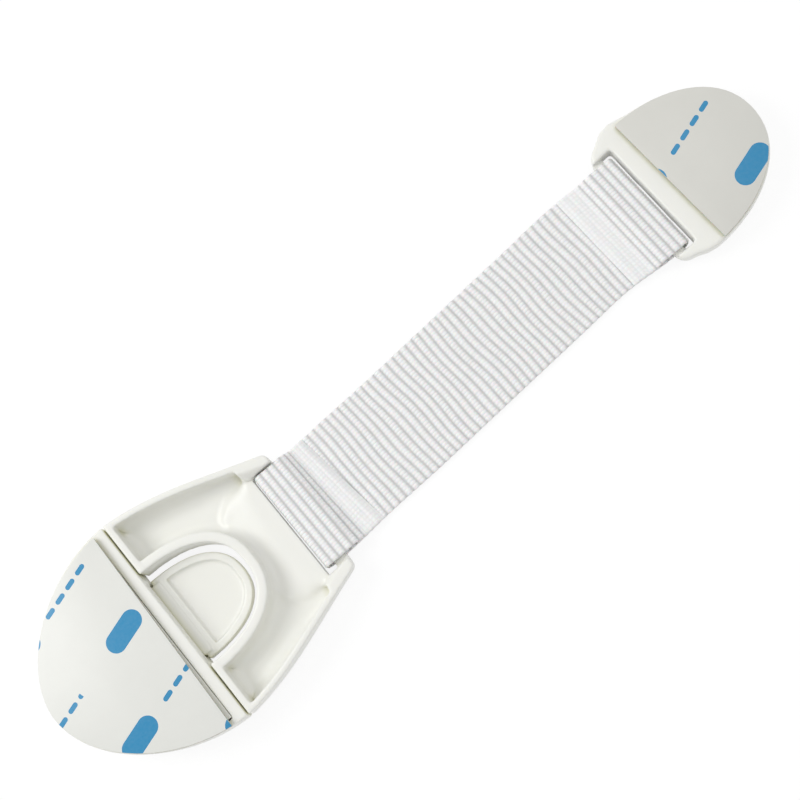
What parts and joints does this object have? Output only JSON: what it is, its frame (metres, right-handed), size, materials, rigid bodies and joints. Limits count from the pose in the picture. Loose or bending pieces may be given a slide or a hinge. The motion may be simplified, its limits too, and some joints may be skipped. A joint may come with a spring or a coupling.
{
  "type": "child safety lock",
  "caption": "Strap lock for cupboards and drawers: a half-moon base and an anchor plate on foam tape, joined by webbing, with a sprung tongue that frees a clip-on cover.",
  "frame": {"origin": "middle of the footprint, on the surface that the front faces lie on", "axes": "+X from the base along the strap to the anchor plate, +Z out of the adhesive side, +Y by the right-hand rule"},
  "size_m": [0.197, 0.0512, 0.0094],
  "materials": {
    "ivory_plastic": "satin",
    "inner_plastic": "matte",
    "white_foam": "matte",
    "liner_paper": "matte",
    "white_webbing": "matte"
  },
  "bodies": {
    "cover": {"latch_cover": "ivory_plastic", "strap_latch_wrap": "white_webbing"},
    "base": {"base_shell": "ivory_plastic", "base_back_plate": "inner_plastic", "base_foam_pad": "white_foam"},
    "tongue": {"release_tongue": "ivory_plastic"},
    "base_liner": {"base_liner": "liner_paper"},
    "latch_fold": {"strap_latch_fold": "white_webbing", "strap_latch_tail": "white_webbing"},
    "run_1": {"strap_run_1": "white_webbing"},
    "run_2": {"strap_run_2": "white_webbing"},
    "run_3": {"strap_run_3": "white_webbing"},
    "run_4": {"strap_run_4": "white_webbing"},
    "run_5": {"strap_run_5": "white_webbing"},
    "anchor_fold": {"strap_anchor_fold": "white_webbing", "strap_anchor_tail": "white_webbing"},
    "anchor": {"anchor_plate": "ivory_plastic", "strap_anchor_wrap": "white_webbing", "anchor_foam_pad": "white_foam"},
    "anchor_liner": {"anchor_liner": "liner_paper"}
  },
  "joints": [
    {"name": "base_release", "type": "slide", "parent": "cover", "child": "base", "axis": [-1, 0, 0], "range_m": [0, 0.032]},
    {"name": "tongue_press", "type": "hinge", "parent": "base", "child": "tongue", "pos_m": [-0.06711, 0, 0.003], "axis": [0, -1, 0], "range_deg": [0, 7], "stiffness_Nm_per_rad": 0.3},
    {"name": "base_liner_peel", "type": "hinge", "parent": "base", "child": "base_liner", "pos_m": [-0.06881, 0, 0.0093], "axis": [0.0262, 0.9997, 0], "range_deg": [0, 110]},
    {"name": "latch_fold_bend", "type": "hinge", "parent": "cover", "child": "latch_fold", "pos_m": [-0.02811, 0.0006, 0.00265], "axis": [0.0187, -0.9998, 0], "range_deg": [-15, 15]},
    {"name": "strap_bend_1", "type": "hinge", "parent": "latch_fold", "child": "run_1", "pos_m": [-0.01662, 0.00142, 0.00085], "axis": [0.0373, -0.9993, 0], "range_deg": [-20, 25]},
    {"name": "strap_bend_2", "type": "hinge", "parent": "run_1", "child": "run_2", "pos_m": [-0.00279, 0.00193, 0.00085], "axis": [0.056, -0.9984, 0], "range_deg": [-20, 25]},
    {"name": "strap_bend_3", "type": "hinge", "parent": "run_2", "child": "run_3", "pos_m": [0.01103, 0.00271, 0.00085], "axis": [0.056, -0.9984, 0], "range_deg": [-20, 25]},
    {"name": "strap_bend_4", "type": "hinge", "parent": "run_3", "child": "run_4", "pos_m": [0.02484, 0.00348, 0.00085], "axis": [0.056, -0.9984, 0], "range_deg": [-20, 25]},
    {"name": "strap_bend_5", "type": "hinge", "parent": "run_4", "child": "run_5", "pos_m": [0.03866, 0.00426, 0.00085], "axis": [0.056, -0.9984, 0], "range_deg": [-20, 25]},
    {"name": "strap_bend_6", "type": "hinge", "parent": "run_5", "child": "anchor_fold", "pos_m": [0.05248, 0.00503, 0.00085], "axis": [0.0403, -0.9992, 0], "range_deg": [-20, 25]},
    {"name": "anchor_fold_bend", "type": "hinge", "parent": "anchor_fold", "child": "anchor", "pos_m": [0.06402, 0.0043, 0.00265], "axis": [0.0246, -0.9997, 0], "range_deg": [-15, 15]},
    {"name": "anchor_liner_peel", "type": "hinge", "parent": "anchor", "child": "anchor_liner", "pos_m": [0.07452, 0.00455, 0.0063], "axis": [0.0508, -0.9987, 0], "range_deg": [0, 110]}
  ]
}
